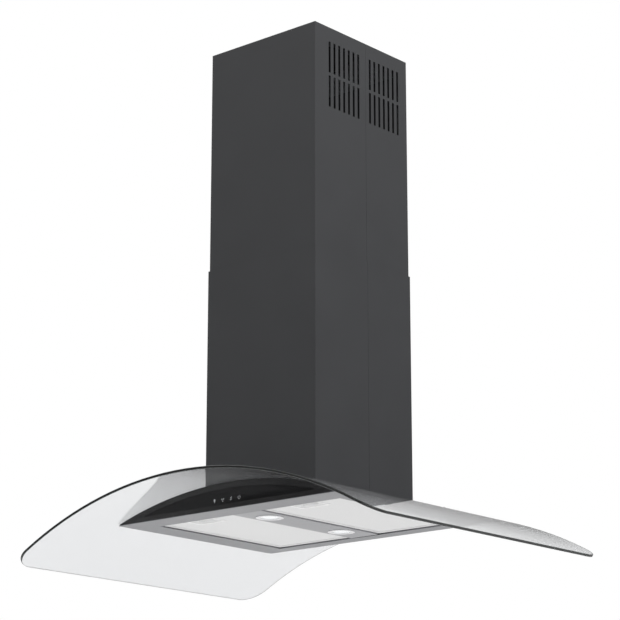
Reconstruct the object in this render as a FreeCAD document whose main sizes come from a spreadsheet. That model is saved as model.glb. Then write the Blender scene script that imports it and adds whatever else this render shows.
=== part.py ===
import FreeCAD
import Part
import Sketcher
import math
import os
from types import SimpleNamespace

# Curved glass island range hood: a bent glass canopy on a crescent-section body, hung from the ceiling
# by a telescoping frame that two pairs of sheet-metal chimney covers hide. Millimetres, +Z up.
# The model's origin is the centre of the ceiling plate's top face. Most pieces of the hood body are
# drawn from the plane of its underside, and HOOD_LEVEL brings them down to their place.

doc = FreeCAD.newDocument("curved_glass_island_hood")

# --- driving dimensions ------------------------------------------------------------------------------

DIMENSIONS = {
    # whole hood
    "stack_height": 965, "chimney_setback": 15, "lift_range": 300, "seat_gap": 0.3, "seal_play": 0.1,
    # glass canopy
    "glass_width": 900, "glass_depth": 690, "glass_thickness": 5, "glass_radius": 872,
    "glass_corner": 45, "glass_edge_round": 1.2, "glass_opening_clearance": 3,
    "glass_opening_corner": 8,
    # seals under the glass and the capped screws through it
    "seal_thickness": 1, "gasket_width": 20, "edge_seal_width": 12, "edge_seal_inset": 11,
    "fixing_x": 178, "fixing_margin": 20, "fixing_hole_radius": 4.5, "fixing_cap_radius": 8,
    "fixing_cap_height": 4, "fixing_shank_radius": 3, "fixing_shank_length": 14,
    # hood body: crescent of sheet metal
    "body_width": 570, "body_depth": 440, "edge_height": 2.45, "sheet": 1, "hem_width": 8,
    "housing_inset": 2, "fascia_thickness": 2, "fascia_inset": 3, "air_hole_margin": 8,
    # control panel let into the front fascia
    "panel_side_border": 69, "panel_top_border": 11, "panel_bottom": 9.5, "panel_tip_height": 2.5,
    "panel_fit": 0.2, "panel_recess": 0.7, "panel_lip": 4, "panel_lip_thickness": 1.5,
    "board_half_width": 90, "board_bottom": 12, "board_top": 30, "board_thickness": 1.6,
    # underside
    "side_border": 57.4, "opening_setback": 10.9, "rim_wall_height": 11.5, "strip_width": 70,
    "strip_rear_gap": 4.5, "strip_tab": 3, "strip_bridge": 12,
    # lamps
    "lamp_front_y": -100, "lamp_rear_y": 110, "lens_radius": 20, "lens_thickness": 2,
    "lens_fit": 0.2, "lens_seat": 1.5, "lamp_wall": 4, "lamp_hole_fit": 0.3, "lamp_flange_lap": 2,
    "lamp_flange_thickness": 1, "lamp_lip_top": 0.5, "lamp_barrel_height": 12, "lamp_can_top": 15,
    # grease filters
    "filter_length": 348, "filter_thickness": 9, "filter_level": 2.5, "filter_gap": 0.8,
    "filter_rear_gap": 2, "filter_lip": 8, "filter_wall": 1,
    "pin_radius": 2, "pin_fit": 0.05, "pin_from_rear": 6, "pin_reach": 1, "cup_half_width": 31,
    "cup_rear": 45, "cup_wall": 1, "cup_flange": 3, "cup_corner": 6, "latch_half_width": 18,
    "latch_plate_y": 30, "latch_plate_thickness": 2, "tongue_half_width": 12, "tongue_bottom": 3.5,
    "tongue_thickness": 2, "tongue_reach": 0.5,
    # chimney covers
    "chimney_width": 276, "chimney_depth": 286, "cover_sheet": 1, "cover_step": 2,
    "joint_height": 505.5, "cover_overlap": 40, "seam_y": 11.8, "seam_gap": 0.4,
    "vent_width": 6, "vent_height": 65, "vent_pitch": 14.7, "vent_count": 7, "vent_row_gap": 6.5,
    "vent_drop": 30, "vent_front_start": -99, "vent_rear_start": 25.5,
    # hanging frame
    "plate_thickness": 3, "skirt_height": 25, "skirt_sheet": 1.5, "duct_clearance": 10,
    "ceiling_bolt_x": 115, "ceiling_bolt_y": 70, "ceiling_bolt_radius": 4.5,
    "post_leg": 20, "post_sheet": 2, "post_room": 2.7, "post_below_slot": 22,
    "post_above_bolt": 89, "post_foot_gap": 4.4, "brace_sheet": 1.2, "brace_height": 20,
    "brace_lift": 2, "bolt_level": 455, "bolt_radius": 2.4, "bolt_head_radius": 4.5,
    "bolt_head_height": 2, "bolt_nut_height": 4, "slot_width": 5.4, "slot_margin": 8,
    # base frame on the crown of the body
    "base_rise": 10, "base_wall": 2, "base_flange": 22,
    # blower
    "scroll_front_gap": 7, "scroll_rail_gap": 5, "scroll_clearance": 11, "scroll_growth": 11,
    "wheel_side_gap": 6, "scroll_wall": 1.5, "tongue_angle": 60, "neck_rise": 13,
    "inlet_radius": 62, "bell_radius": 6, "bell_sheet": 1.2, "bell_skirt": 2, "foot_half_width": 50,
    "rail_width": 14, "rail_thickness": 3, "rail_spread": 45, "rail_end_gap": 1,
    "wheel_radius": 75, "wheel_half_width": 52, "blade_depth": 15, "blade_thickness": 1.2,
    "blade_curve_radius": 11, "blade_count": 30, "wheel_disc_thickness": 1.2,
    "wheel_ring_width": 5, "wheel_ring_thickness": 2, "hub_radius": 12, "hub_left": 10,
    "hub_right": 12, "shaft_radius": 4, "shaft_fit": 0.05, "shaft_left": 38,
    "motor_radius": 42, "motor_left": 84, "motor_right": 20, "motor_boss_radius": 10,
    "motor_boss_length": 6, "bracket_ring_width": 5, "bracket_sheet": 2, "bracket_arm_width": 12,
    "bracket_margin": 4, "bracket_foot": 2.5, "bracket_arms": 3,
    # outlet
    "transition_height": 65, "outlet_radius": 75, "collar_wall": 1.5, "collar_height": 45,
    "ledge_width": 5, "ledge_thickness": 1.5, "damper_level": 24, "damper_pin_radius": 1.5,
    "flap_clearance": 2, "flap_thickness": 1, "flap_drop": 1.5, "knuckle_radius": 3,
    "knuckle_start": 15, "knuckle_length": 40,
    # control box
    "box_wall_gap": 2, "box_width": 32, "box_front": 20, "box_length": 96, "box_height": 74,
    "box_round": 3,
}

# Lengths in millimetres, squares of directions and volumes that differ by less than this are equal.
TOLERANCE = 1e-3


class Size:
    """A number together with the sheet formula that gives it."""

    def __init__(self, value, formula=None):
        self.value = float(value)
        self.formula = formula

    def text(self):
        return self.formula or repr(self.value)

    def joined(self, sign, other, value):
        if self.formula is None and other.formula is None:
            return Size(value)
        return Size(value, f"({self.text()} {sign} {other.text()})")

    def __add__(self, other):
        other = as_size(other)
        return self.joined("+", other, self.value + other.value)

    def __sub__(self, other):
        other = as_size(other)
        return self.joined("-", other, self.value - other.value)

    def __mul__(self, other):
        other = as_size(other)
        return self.joined("*", other, self.value * other.value)

    def __truediv__(self, other):
        other = as_size(other)
        return self.joined("/", other, self.value / other.value)

    def __neg__(self):
        return Size(0) - self

    def __radd__(self, other):
        return as_size(other) + self

    def __rsub__(self, other):
        return as_size(other) - self

    def __rmul__(self, other):
        return as_size(other) * self


def as_size(number):
    return number if isinstance(number, Size) else Size(number)


def root(size):
    return Size(math.sqrt(size.value), f"sqrt({size.text()})")


def cosine(degrees):
    return Size(math.cos(math.radians(degrees.value)), f"cos({degrees.text()})")


def drop(radius, reach):
    """How far an arc of this radius has fallen at a reach from its apex."""
    return radius - root(radius * radius - reach * reach)


def make_sheet():
    sheet = doc.addObject("Spreadsheet::Sheet", "Sizes")
    for row, (name, number) in enumerate(DIMENSIONS.items(), start=1):
        sheet.set(f"A{row}", name)
        sheet.set(f"B{row}", str(number))
        sheet.setAlias(f"B{row}", name)
    doc.recompute()
    return SimpleNamespace(**{name: Size(sheet.get(name), f"Sizes.{name}") for name in DIMENSIONS})


s = make_sheet()

# --- sizes that follow from the driving ones ----------------------------------------------------------

HOOD_LEVEL = -s.stack_height
BODY_Y = -s.chimney_setback
HOUSING_RADIUS = s.glass_radius - s.glass_thickness - s.seal_thickness
HOUSING_HALF = s.body_width / 2 - s.housing_inset
CROWN = s.edge_height + drop(HOUSING_RADIUS, HOUSING_HALF)
GLASS_TOP = CROWN + s.seal_thickness + s.glass_thickness
FIXING_Y = s.body_depth / 2 - s.fixing_margin
FASCIA_HALF = s.body_width / 2 - s.fascia_inset
PANEL_HALF = FASCIA_HALF - s.panel_side_border
PANEL_TOP = CROWN - s.panel_top_border
PANEL_RISE = PANEL_TOP - s.panel_bottom - s.panel_tip_height
PANEL_RADIUS = (PANEL_HALF * PANEL_HALF + PANEL_RISE * PANEL_RISE) / (PANEL_RISE * 2)
OPENING_LENGTH = s.filter_gap + s.filter_length + s.filter_rear_gap
OPENING_FRONT = s.opening_setback - OPENING_LENGTH / 2
OPENING_REAR = OPENING_FRONT + OPENING_LENGTH
OPENING_HALF = s.body_width / 2 - s.side_border
FILTER_WIDTH = OPENING_HALF - s.strip_width / 2 - s.filter_gap * 2
FILTER_X = s.strip_width / 2 + s.filter_gap + FILTER_WIDTH / 2
FILTER_Y = OPENING_FRONT + s.filter_gap
PIN_Y = s.filter_length - s.pin_from_rear
PIN_Z = s.filter_thickness / 2
PIN_HOLE = s.pin_radius + s.pin_fit
LAMP_BORE = s.lens_radius + s.lens_fit
LAMP_BARREL = LAMP_BORE + s.lamp_wall
LAMP_HOLE = LAMP_BARREL + s.lamp_hole_fit
UPPER_POST_X = s.chimney_width / 2 - s.cover_sheet - s.post_room
UPPER_POST_Y = s.chimney_depth / 2 - s.cover_sheet - s.post_room
LOWER_POST_X = UPPER_POST_X - s.post_sheet - s.seat_gap
LOWER_POST_Y = UPPER_POST_Y - s.post_sheet - s.seat_gap
BASE_X = LOWER_POST_X - s.post_sheet
BASE_Y = LOWER_POST_Y - s.post_sheet
GLASS_OPENING_X = LOWER_POST_X + s.glass_opening_clearance
GLASS_OPENING_Y = LOWER_POST_Y + s.glass_opening_clearance
BOLT_Y = LOWER_POST_Y - s.post_leg / 2
UPPER_POST_FOOT = s.bolt_level - s.slot_margin - s.post_below_slot - s.stack_height
LOWER_POST_FOOT = CROWN - drop(HOUSING_RADIUS, LOWER_POST_X) + s.post_foot_gap
BASE_TOP = GLASS_TOP + s.base_rise
SCROLL_START = s.wheel_radius + s.scroll_clearance
SCROLL_SHIFT = s.scroll_growth / 2
SCROLL_HALF = s.wheel_half_width + s.wheel_side_gap
BLOWER_Y = s.scroll_front_gap + s.scroll_wall + SCROLL_START + SCROLL_SHIFT - LOWER_POST_Y
RAIL_TOP = BASE_TOP + s.rail_thickness
BLOWER_LEVEL = RAIL_TOP + s.scroll_rail_gap + s.scroll_wall + SCROLL_START + s.scroll_growth + SCROLL_SHIFT
NECK_TOP = SCROLL_START - SCROLL_SHIFT + s.scroll_wall + s.neck_rise
BRACKET_REACH = s.inlet_radius + s.bell_radius + s.bracket_margin
COLLAR_LEVEL = BLOWER_LEVEL + NECK_TOP + s.transition_height
COLLAR_BORE = s.outlet_radius - s.collar_wall
PLATE_X = s.chimney_width / 2 - s.cover_sheet - s.seat_gap
PLATE_Y = s.chimney_depth / 2 - s.cover_sheet - s.seat_gap

# --- drawing and modelling helpers --------------------------------------------------------------------


def bind(thing, name, size):
    """Give a property its value and, where the size comes from the sheet, its formula."""
    size = as_size(size)
    if "." not in name:
        setattr(thing, name, size.value)
    if size.formula:
        thing.setExpression(name, size.formula)


def new_body(label):
    return doc.addObject("PartDesign::Body", label)


def place(thing, x=0, y=0, z=0):
    x, y, z = as_size(x), as_size(y), as_size(z)
    thing.Placement = FreeCAD.Placement(FreeCAD.Vector(x.value, y.value, z.value), FreeCAD.Rotation())
    for axis, size in (("x", x), ("y", y), ("z", z)):
        if size.formula:
            thing.setExpression(f"Placement.Base.{axis}", size.formula)
    return thing


def new_sketch(owner, plane, offset=0):
    """Sketch on an origin plane of the body, moved along the plane's own normal by the offset."""
    offset = as_size(offset)
    origin_plane = next(item for item in owner.Origin.OriginFeatures if item.Role == plane + "_Plane")
    sketch = owner.newObject("Sketcher::SketchObject", owner.Name + "_sketch")
    sketch.AttachmentSupport = [(origin_plane, "")]
    sketch.MapMode = "FlatFace"
    sketch.AttachmentOffset = FreeCAD.Placement(FreeCAD.Vector(0, 0, offset.value), FreeCAD.Rotation())
    if offset.formula:
        sketch.setExpression("AttachmentOffset.Base.z", offset.formula)
    return sketch


def constrain(sketch, *terms):
    """Add a constraint whose last term is a size, with the size's formula behind it."""
    size = terms[-1]
    index = sketch.addConstraint(Sketcher.Constraint(*terms[:-1], size.value))
    if size.formula:
        sketch.setExpression(f"Constraints[{index}]", size.formula)


def pin_point(sketch, edge, end, x, y):
    constrain(sketch, "DistanceX", -1, 1, edge, end, x)
    constrain(sketch, "DistanceY", -1, 1, edge, end, y)


def arc_edge(start, finish, radius):
    """Arc under a half circle between two points, turning left for a positive radius."""
    if radius < 0:
        return arc_edge(finish, start, -radius)
    chord = finish - start
    rise = math.sqrt(max(radius ** 2 - (chord.Length / 2) ** 2, 0))
    left = FreeCAD.Vector(-chord.y, chord.x, 0).normalize()
    centre = (start + finish) / 2 + left * rise
    angles = [math.atan2(point.y - centre.y, point.x - centre.x) for point in (start, finish)]
    return Part.ArcOfCircle(Part.Circle(centre, FreeCAD.Vector(0, 0, 1), radius), *angles)


def draw(sketch, corners):
    """Closed outline. A corner (x, y, radius) is joined to the next one by an arc of that radius,
    which turns left if the radius is positive and right if it is negative."""
    corners = [[as_size(number) for number in corner] for corner in corners]
    points = [FreeCAD.Vector(corner[0].value, corner[1].value, 0) for corner in corners]
    ends = []
    for number, corner in enumerate(corners):
        start, finish = points[number], points[(number + 1) % len(points)]
        if len(corner) == 2:
            edge = sketch.addGeometry(Part.LineSegment(start, finish), False)
            ends.append((edge, 1, 2))
            continue
        edge = sketch.addGeometry(arc_edge(start, finish, corner[2].value), False)
        ends.append((edge, 1, 2) if corner[2].value > 0 else (edge, 2, 1))
    for number, (edge, first, last) in enumerate(ends):
        following = ends[(number + 1) % len(ends)]
        sketch.addConstraint(Sketcher.Constraint("Coincident", edge, last, following[0], following[1]))
        corner = corners[number]
        pin_point(sketch, edge, first, corner[0], corner[1])
        if len(corner) == 3:
            constrain(sketch, "Radius", edge, corner[2] if corner[2].value > 0 else -corner[2])


def draw_circle(sketch, x, y, radius):
    x, y, radius = as_size(x), as_size(y), as_size(radius)
    centre = FreeCAD.Vector(x.value, y.value, 0)
    edge = sketch.addGeometry(Part.Circle(centre, FreeCAD.Vector(0, 0, 1), radius.value), False)
    pin_point(sketch, edge, 3, x, y)
    constrain(sketch, "Radius", edge, radius)


def rectangle(left, right, low, high):
    return [(left, low), (right, low), (right, high), (left, high)]


def centred(half_width, half_depth):
    return rectangle(-half_width, half_width, -half_depth, half_depth)


def rounded(half_width, half_depth, radius):
    """Centred rectangle with round corners."""
    x, y = half_width - radius, half_depth - radius
    return [(-x, -half_depth), (x, -half_depth, radius), (half_width, -y), (half_width, y, radius),
            (x, half_depth), (-x, half_depth, radius), (-half_width, y), (-half_width, -y, radius)]


def circle(x, y, radius):
    return ("circle", x, y, radius)


def fill_sketch(sketch, outlines):
    for outline in outlines:
        if outline[0] == "circle":
            draw_circle(sketch, *outline[1:])
        else:
            draw(sketch, outline)


# The normals of the XY and YZ planes point up and to the right, and that of the XZ plane to the front.
def add(owner, plane, low, high, *outlines):
    """Pad the outlines from low to high along the axis square to the plane."""
    low, high = as_size(low), as_size(high)
    sketch = new_sketch(owner, plane, -high if plane == "XZ" else low)
    fill_sketch(sketch, outlines)
    pad = owner.newObject("PartDesign::Pad", owner.Name + "_pad")
    pad.Profile = sketch
    bind(pad, "Length", high - low)
    return pad


def cut(owner, plane, low, high, *outlines):
    """Pocket the outlines from low to high along the axis square to the plane."""
    low, high = as_size(low), as_size(high)
    sketch = new_sketch(owner, plane, -low if plane == "XZ" else high)
    fill_sketch(sketch, outlines)
    pocket = owner.newObject("PartDesign::Pocket", owner.Name + "_pocket")
    pocket.Profile = sketch
    bind(pocket, "Length", high - low)
    return pocket


def turn(owner, outline, axis):
    """Revolve an outline of the XZ plane about the X axis (H_Axis) or the Z axis (V_Axis)."""
    sketch = new_sketch(owner, "XZ")
    draw(sketch, outline)
    solid = owner.newObject("PartDesign::Revolution", owner.Name + "_turned")
    solid.Profile = sketch
    solid.ReferenceAxis = (sketch, [axis])
    solid.Angle = 360
    return solid


def origin_axis(owner, role):
    return next(item for item in owner.Origin.OriginFeatures if item.Role == role)


def around(owner, feature, count, role):
    """Repeat a feature round one of the body's own axes."""
    pattern = owner.newObject("PartDesign::PolarPattern", owner.Name + "_round")
    pattern.Originals = [feature]
    pattern.Axis = (origin_axis(owner, role), [""])
    pattern.Angle = 360
    pattern.Occurrences = int(count.value)
    pattern.setExpression("Occurrences", count.formula)
    owner.Tip = pattern
    return pattern


def round_edges(owner, feature, radius, wanted):
    """Fillet every edge that the test picks."""
    doc.recompute()
    names = [f"Edge{number}" for number, edge in enumerate(feature.Shape.Edges, 1) if wanted(edge)]
    fillet = owner.newObject("PartDesign::Fillet", owner.Name + "_round")
    fillet.Base = (feature, names)
    bind(fillet, "Radius", radius)
    return fillet


def arc_band(apex, radius, thickness, half_width):
    """Section of a bent sheet: its outer arc, its inner arc and its square ends."""
    inner = radius - thickness
    inner_half = half_width * inner / radius
    outer_end = apex - drop(radius, half_width)
    inner_end = apex - thickness - drop(inner, inner_half)
    return [(-inner_half, inner_end, -inner), (inner_half, inner_end),
            (half_width, outer_end, radius), (-half_width, outer_end)]


def crescent(apex, radius, bottom, half_width):
    """Outline with a flat bottom and an arched top."""
    end = apex - drop(radius, half_width)
    return [(-half_width, bottom), (half_width, bottom), (half_width, end, radius), (-half_width, end)]


def arch_foot(apex, radius, half_width):
    """A level safely under the ends of an arch."""
    return apex - drop(radius, half_width) - CROWN


def add_arched(owner, low, high, apex, radius, bottom, half_width):
    """Pad with an arched top, cut off level at the bottom wherever the ends of the arch come to."""
    foot = arch_foot(apex, radius, half_width)
    add(owner, "XZ", low, high, crescent(apex, radius, foot, half_width))
    cut(owner, "XZ", low, high, rectangle(-half_width, half_width, foot, bottom))


def is_upright(edge):
    return edge.tangentAt(edge.FirstParameter).z ** 2 > 1 - TOLERANCE


def solid_group(label, solids):
    """Like fasteners, as a group of separate solids."""
    group = doc.addObject("Part::Feature", label)
    group.Shape = Part.makeCompound(solids)
    return group


# --- glass canopy, its seals and its fixings -----------------------------------------------------------


def make_glass():
    glass = new_body("glass_canopy")
    half = s.glass_width / 2
    depth = s.glass_depth / 2
    pane = add(glass, "XZ", -depth, depth,
               arc_band(GLASS_TOP, s.glass_radius, s.glass_thickness, half))

    def is_corner(edge):
        return abs(edge.Length - s.glass_thickness.value) < TOLERANCE

    corners = round_edges(glass, pane, s.glass_corner, is_corner)

    def is_rim(edge):
        return not is_corner(edge)

    round_edges(glass, corners, s.glass_edge_round, is_rim)
    opening = rounded(GLASS_OPENING_X, GLASS_OPENING_Y, s.glass_opening_corner)
    opening = [(x, y + s.chimney_setback, *rest) for x, y, *rest in opening]
    low = GLASS_TOP - s.glass_thickness * 2 - drop(s.glass_radius, s.fixing_x)
    cut(glass, "XY", low, GLASS_TOP + s.glass_thickness, opening)
    holes = [circle(x, FIXING_Y, s.fixing_hole_radius) for x in (-s.fixing_x, s.fixing_x)]
    cut(glass, "XY", low, GLASS_TOP + s.glass_thickness, *holes)
    place(glass, 0, BODY_Y, HOOD_LEVEL)


def seal_section(half_width):
    apex = GLASS_TOP - s.glass_thickness - s.seal_play
    radius = s.glass_radius - s.glass_thickness - s.seal_play
    return arc_band(apex, radius, s.seal_thickness - s.seal_play * 2, half_width)


def make_seals():
    gasket = new_body("glass_gasket")
    half_x = GLASS_OPENING_X + s.gasket_width
    half_y = GLASS_OPENING_Y + s.gasket_width
    add(gasket, "XZ", -half_y, half_y, seal_section(half_x))
    cut(gasket, "XY", 0, GLASS_TOP,
        rounded(GLASS_OPENING_X, GLASS_OPENING_Y, s.glass_opening_corner))
    place(gasket, 0, 0, HOOD_LEVEL)
    edge = s.body_depth / 2 - s.housing_inset
    for label, low in (("front_seal", -edge), ("rear_seal", edge - s.edge_seal_width)):
        seal = new_body(label)
        add(seal, "XZ", low, low + s.edge_seal_width, seal_section(HOUSING_HALF - s.edge_seal_inset))
        place(seal, 0, BODY_Y, HOOD_LEVEL)


def make_glass_fixings():
    """Two capped screws at the rear, square to the glass, through it and the top of the body."""
    centre = FreeCAD.Vector(0, 0, GLASS_TOP.value - s.glass_radius.value)
    up = FreeCAD.Vector(0, 0, 1)
    seat = s.glass_radius.value + s.seal_play.value
    screws = []
    for x in (-s.fixing_x.value, s.fixing_x.value):
        lean = math.degrees(math.asin(x / s.glass_radius.value))
        cap = Part.makeCylinder(s.fixing_cap_radius.value, s.fixing_cap_height.value, up * seat)
        rim = [edge for edge in cap.Edges if edge.CenterOfMass.z > seat + s.fixing_cap_height.value / 2
               and edge.Closed]
        cap = cap.makeFillet(s.fixing_cap_height.value / 2, rim)
        shank = Part.makeCylinder(s.fixing_shank_radius.value, s.fixing_shank_length.value,
                                  up * (seat - s.fixing_shank_length.value))
        screw = cap.fuse(shank).removeSplitter()
        screw.rotate(FreeCAD.Vector(), FreeCAD.Vector(0, 1, 0), lean)
        screw.translate(centre + FreeCAD.Vector(0, FIXING_Y.value, 0))
        screws.append(screw)
    place(solid_group("glass_fixings", screws), 0, BODY_Y, HOOD_LEVEL)


# --- hood body ----------------------------------------------------------------------------------------


def make_housing():
    housing = new_body("top_housing")
    depth = s.body_depth / 2 - s.fascia_thickness
    add_arched(housing, -depth, depth, CROWN, HOUSING_RADIUS, s.sheet, HOUSING_HALF)
    apex, inner, inner_half = CROWN - s.sheet, HOUSING_RADIUS - s.sheet, HOUSING_HALF - s.hem_width
    cut(housing, "XZ", -depth, depth,
        crescent(apex, inner, arch_foot(apex, inner, inner_half), inner_half))
    margin = s.base_wall + s.air_hole_margin
    hole = [(x, y + s.chimney_setback) for x, y in centred(BASE_X - margin, BASE_Y - margin)]
    cut(housing, "XY", CROWN / 2, CROWN + s.sheet, hole)
    holes = [circle(x, FIXING_Y, s.fixing_hole_radius) for x in (-s.fixing_x, s.fixing_x)]
    cut(housing, "XY", s.rim_wall_height, CROWN, *holes)
    place(housing, 0, BODY_Y, HOOD_LEVEL)


def make_fascias():
    outer = s.body_depth / 2
    inner = outer - s.fascia_thickness
    front = new_body("front_fascia")
    add_arched(front, -outer, -inner, CROWN, HOUSING_RADIUS, s.sheet, FASCIA_HALF)
    cut(front, "XZ", -outer, -inner, panel_outline(0))
    place(front, 0, BODY_Y, HOOD_LEVEL)
    rear = new_body("rear_fascia")
    add_arched(rear, inner, outer, CROWN, HOUSING_RADIUS, s.sheet, FASCIA_HALF)
    place(rear, 0, BODY_Y, HOOD_LEVEL)


def panel_outline(growth):
    """Crescent of the control panel, grown or shrunk all round."""
    return crescent(PANEL_TOP + growth, PANEL_RADIUS + growth, s.panel_bottom - growth,
                    PANEL_HALF + growth)


def make_controls():
    back = s.fascia_thickness - s.body_depth / 2
    panel = new_body("control_panel")
    add(panel, "XZ", back, back + s.panel_lip_thickness, panel_outline(s.panel_lip))
    add(panel, "XZ", s.panel_recess - s.body_depth / 2, back, panel_outline(-s.panel_fit))
    place(panel, 0, BODY_Y, HOOD_LEVEL)
    board = new_body("control_board")
    board_front = back + s.panel_lip_thickness
    add(board, "XZ", board_front, board_front + s.board_thickness,
        rectangle(-s.board_half_width, s.board_half_width, s.board_bottom, s.board_top))
    place(board, 0, BODY_Y, HOOD_LEVEL)


def make_rim():
    rim = new_body("underside_rim")
    wall = s.sheet
    opening = rectangle(-OPENING_HALF, OPENING_HALF, OPENING_FRONT, OPENING_REAR)
    add(rim, "XY", 0, s.sheet, centred(s.body_width / 2, s.body_depth / 2))
    add(rim, "XY", 0, s.rim_wall_height,
        rectangle(-OPENING_HALF - wall, OPENING_HALF + wall, OPENING_FRONT - wall, OPENING_REAR + wall))
    cut(rim, "XY", 0, s.rim_wall_height, opening)
    cut(rim, "YZ", -OPENING_HALF - wall, OPENING_HALF + wall,
        circle(FILTER_Y + PIN_Y, s.filter_level + PIN_Z, PIN_HOLE))
    place(rim, 0, BODY_Y, HOOD_LEVEL)


def make_light_strip():
    strip = new_body("light_strip")
    half = s.strip_width / 2
    front = OPENING_FRONT + s.seat_gap
    rear = OPENING_REAR - s.strip_rear_gap
    top = s.rim_wall_height + s.sheet
    add(strip, "XY", 0, top, rectangle(-half, half, front, rear))
    cut(strip, "XY", s.sheet, top, rectangle(s.sheet - half, half - s.sheet, front, rear))
    over_front = OPENING_FRONT - s.sheet - s.strip_tab
    over_rear = OPENING_REAR + s.sheet + s.strip_tab
    add(strip, "XY", s.rim_wall_height, top,
        rectangle(-half, half, over_front, front + s.strip_bridge),
        rectangle(-half, half, rear - s.strip_bridge, over_rear))
    cut(strip, "XY", 0, s.sheet, *[circle(0, y, LAMP_HOLE) for y in (s.lamp_front_y, s.lamp_rear_y)])
    cut(strip, "YZ", -half, half, circle(FILTER_Y + PIN_Y, s.filter_level + PIN_Z, PIN_HOLE))
    place(strip, 0, BODY_Y, HOOD_LEVEL)


def make_lamp(side, y):
    """Recessed lamp: bezel ring, lens on the ring's lip and the can above the lens."""
    bezel = new_body("lamp_bezel_" + side)
    low = -s.lamp_flange_thickness
    lip = s.lens_radius - s.lens_seat
    flange = LAMP_HOLE + s.lamp_flange_lap
    turn(bezel, [(lip, low), (flange, low), (flange, 0), (LAMP_BARREL, 0),
                 (LAMP_BARREL, s.lamp_barrel_height), (LAMP_BORE, s.lamp_barrel_height),
                 (LAMP_BORE, s.lamp_lip_top), (lip, s.lamp_lip_top)], "V_Axis")
    lens = new_body("lamp_lens_" + side)
    lens_top = s.lamp_lip_top + s.lens_thickness
    add(lens, "XY", s.lamp_lip_top, lens_top, circle(0, 0, s.lens_radius))
    can = new_body("lamp_can_" + side)
    add(can, "XY", lens_top, s.lamp_can_top, circle(0, 0, s.lens_radius))
    for piece in (bezel, lens, can):
        place(piece, 0, BODY_Y + y, HOOD_LEVEL)


# --- grease filters: drawn from the middle of the front edge of the lower face --------------------------


def make_filter(side, x):
    half = FILTER_WIDTH / 2
    inner_top = s.filter_thickness - s.filter_wall
    spot = (x, BODY_Y + FILTER_Y, HOOD_LEVEL + s.filter_level)

    frame = new_body("filter_frame_" + side)
    add(frame, "XY", 0, s.filter_thickness, rectangle(-half, half, 0, s.filter_length))
    cut(frame, "XY", 0, s.filter_thickness,
        rectangle(s.filter_lip - half, half - s.filter_lip, s.filter_lip, s.filter_length - s.filter_lip))
    cut(frame, "XY", s.filter_wall, inner_top,
        rectangle(s.filter_wall - half, half - s.filter_wall, s.filter_wall,
                  s.filter_length - s.filter_wall))
    cut(frame, "YZ", -half, half, circle(PIN_Y, PIN_Z, PIN_HOLE))
    cut(frame, "XZ", 0, s.filter_wall, tongue_section(s.seat_gap))

    mesh = new_body("filter_mesh_" + side)
    inset = s.filter_wall + s.seat_gap
    notch = s.cup_half_width + s.seat_gap
    add(mesh, "XY", s.filter_wall, inner_top,
        rectangle(inset - half, half - inset, inset, s.filter_length - inset))
    cut(mesh, "XY", s.filter_wall, inner_top, rectangle(-notch, notch, inset, s.cup_rear + s.seat_gap))

    cup = new_body("filter_cup_" + side)
    front = s.filter_lip + s.seat_gap
    flange = s.cup_half_width + s.cup_flange
    add(cup, "XY", 0, inner_top, rectangle(-s.cup_half_width, s.cup_half_width, front, s.cup_rear))
    add(cup, "XY", 0, s.filter_wall, rectangle(-flange, flange, front, s.cup_rear + s.cup_flange))
    pocket = rounded(s.cup_half_width - s.cup_wall, (s.cup_rear - front) / 2 - s.cup_wall, s.cup_corner)
    cut(cup, "XY", 0, inner_top - s.cup_wall,
        [(x, y + (s.cup_rear + front) / 2, *rest) for x, y, *rest in pocket])
    cut(cup, "XZ", front, front + s.cup_wall, tongue_section(s.seat_gap))

    latch = new_body("filter_latch_" + side)
    add(latch, "XZ", s.latch_plate_y, s.latch_plate_y + s.latch_plate_thickness,
        rectangle(-s.latch_half_width, s.latch_half_width, s.filter_wall,
                  inner_top - s.cup_wall - s.seat_gap))
    add(latch, "XZ", -s.tongue_reach, s.latch_plate_y, tongue_section(0))
    for piece in (frame, mesh, cup, latch):
        place(piece, *spot)
    make_hinge_pins(side, spot)


def tongue_section(clearance):
    half = s.tongue_half_width + clearance
    return rectangle(-half, half, s.tongue_bottom - clearance,
                     s.tongue_bottom + s.tongue_thickness + clearance)


def make_hinge_pins(side, spot):
    """Two pins, through the filter frame's side walls into the rim and the light strip."""
    start = FILTER_WIDTH.value / 2 - s.filter_wall.value
    length = s.filter_wall.value + s.filter_gap.value + s.sheet.value + s.pin_reach.value
    pins = []
    for sign in (-1, 1):
        foot = FreeCAD.Vector(sign * start, PIN_Y.value, PIN_Z.value)
        pins.append(Part.makeCylinder(s.pin_radius.value, length, foot, FreeCAD.Vector(sign, 0, 0)))
    place(solid_group("hinge_pins_" + side, pins), *spot)


# --- chimney covers -----------------------------------------------------------------------------------


def make_cover(label, front, half_x, half_y, low, high):
    """U-shaped cover, open at the seam, the top and the bottom."""
    cover = new_body(label)
    wall = s.cover_sheet
    seam = s.seam_y - s.seam_gap / 2 if front else s.seam_y + s.seam_gap / 2
    outer = rectangle(-half_x, half_x, -half_y, seam) if front else rectangle(-half_x, half_x, seam, half_y)
    inner_x = half_x - wall
    inner = (rectangle(-inner_x, inner_x, wall - half_y, seam) if front
             else rectangle(-inner_x, inner_x, seam, half_y - wall))
    add(cover, "XY", low, high, outer)
    cut(cover, "XY", low, high, inner)
    return cover


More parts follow.
